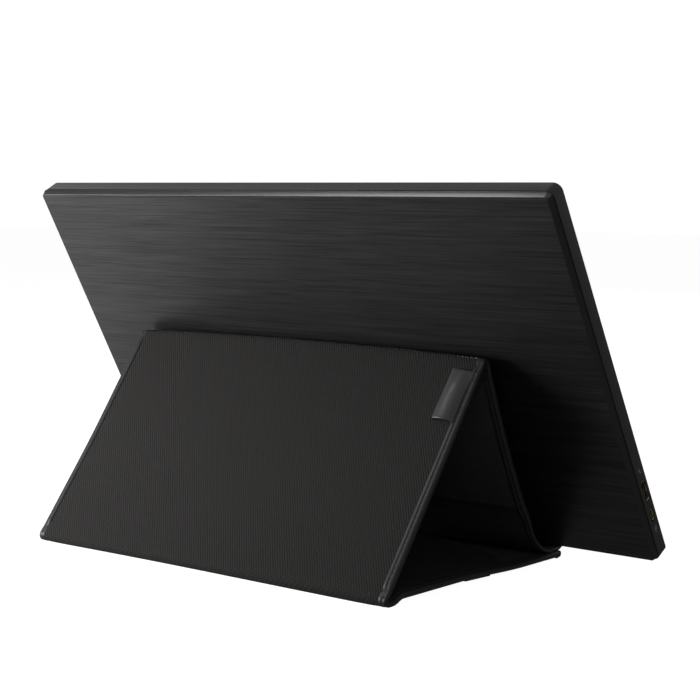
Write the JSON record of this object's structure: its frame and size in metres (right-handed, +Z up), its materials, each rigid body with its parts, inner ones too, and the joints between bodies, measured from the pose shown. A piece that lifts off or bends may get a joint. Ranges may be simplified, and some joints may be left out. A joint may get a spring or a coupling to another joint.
{
  "type": "portable monitor with cover",
  "caption": "Flat portable monitor leaning on its own folded cover, a three-panel tent stand with stitched bindings, a soft lower band and a retaining lip.",
  "frame": {"origin": "middle of the foot strip's underside, on the table", "axes": "+X along the screen's width, the screen faces -Y, +Z up"},
  "size_m": [0.382, 0.1737, 0.216],
  "materials": {
    "rear_case": "fine horizontal brushed texture, satin",
    "bezel_plastic": "fine moulded grain, satin",
    "display_glass": "anti-glare display face, dark when off",
    "white_film": "matt white film",
    "clear_acrylic": "clear polished acrylic",
    "white_plastic": "moulded white plastic",
    "tray_steel": "bare sheet steel",
    "led_yellow": "lamp strip with yellow phosphor",
    "board_green": "solder mask",
    "chip_black": "moulded chip package",
    "can_steel": "tinned shield",
    "cable_film": "amber polyimide film",
    "socket_metal": "pale gold plated shell",
    "screw_steel": "plated steel",
    "button_plastic": "satin plastic",
    "outer_fabric": "coarse ballistic weave",
    "lining_fabric": "finer ribbed weave",
    "overlay_fabric": "short napped fabric",
    "band_fabric": "soft ribbed knit",
    "binding_leather": "grained binding tape with a stitched edge",
    "tab_leather": "smooth grained leather",
    "stiffening_board": "pressed board",
    "strip_rubber": "matt non-slip rubber"
  },
  "bodies": {
    "base": {"base_fabric": "outer_fabric", "base_board": "stiffening_board", "base_lining": "lining_fabric", "base_overlay": "overlay_fabric", "base_binding": "binding_leather", "base_front_roll": "binding_leather", "foot_strip": "strip_rubber", "back_fold_roll": "outer_fabric"},
    "back_panel": {"back_fabric": "outer_fabric", "back_board": "stiffening_board", "back_lining": "lining_fabric", "back_binding": "binding_leather", "loop_tab": "tab_leather", "ridge_roll": "outer_fabric"},
    "front_panel": {"front_fabric": "outer_fabric", "front_board": "stiffening_board", "front_lining": "lining_fabric", "front_binding": "binding_leather", "soft_band": "band_fabric", "band_binding": "binding_leather"},
    "ledge": {"ledge_sleeve": "band_fabric", "ledge_stiffener": "stiffening_board", "ledge_binding": "binding_leather"},
    "screen": {"rear_cover": "rear_case", "front_bezel": "bezel_plastic", "display_glass": "display_glass", "diffuser_sheet": "white_film", "light_guide": "clear_acrylic", "reflector_sheet": "white_film", "panel_frame": "white_plastic", "panel_tray": "tray_steel", "led_bar": "led_yellow", "main_board": "board_green", "video_chip": "chip_black", "shield_can": "can_steel", "display_cable": "cable_film", "usb_receptacle": "socket_metal", "video_receptacle": "socket_metal", "board_screws": "screw_steel", "button_board": "board_green", "light_pipe": "clear_acrylic"},
    "power_button": {"power_button": "button_plastic"}
  },
  "joints": [
    {"name": "base_fold", "type": "hinge", "parent": "base", "child": "back_panel", "pos_m": [0, 0.0792, 0.0037], "axis": [-1, 0, 0], "range_deg": [0, 70]},
    {"name": "ridge_fold", "type": "hinge", "parent": "back_panel", "child": "front_panel", "pos_m": [0, -0.00764, 0.12106], "axis": [-1, 0, 0], "range_deg": [0, 105]},
    {"name": "ledge_fold", "type": "hinge", "parent": "front_panel", "child": "ledge", "pos_m": [0, -0.07227, 0.0048], "axis": [1, 0, 0], "range_deg": [0, 45]},
    {"name": "screen_lift", "type": "slide", "parent": "front_panel", "child": "screen", "axis": [0, 0.4848, 0.8746], "range_m": [0, 0.035]},
    {"name": "power_button_press", "type": "slide", "parent": "screen", "child": "power_button", "axis": [0, 0.8746, -0.4848], "range_m": [0, 0.0006], "stiffness_N_per_m": 2000}
  ],
  "couplings": [
    {"joint": "ledge_fold", "follows": "base_fold", "ratio": 0.64}
  ]
}
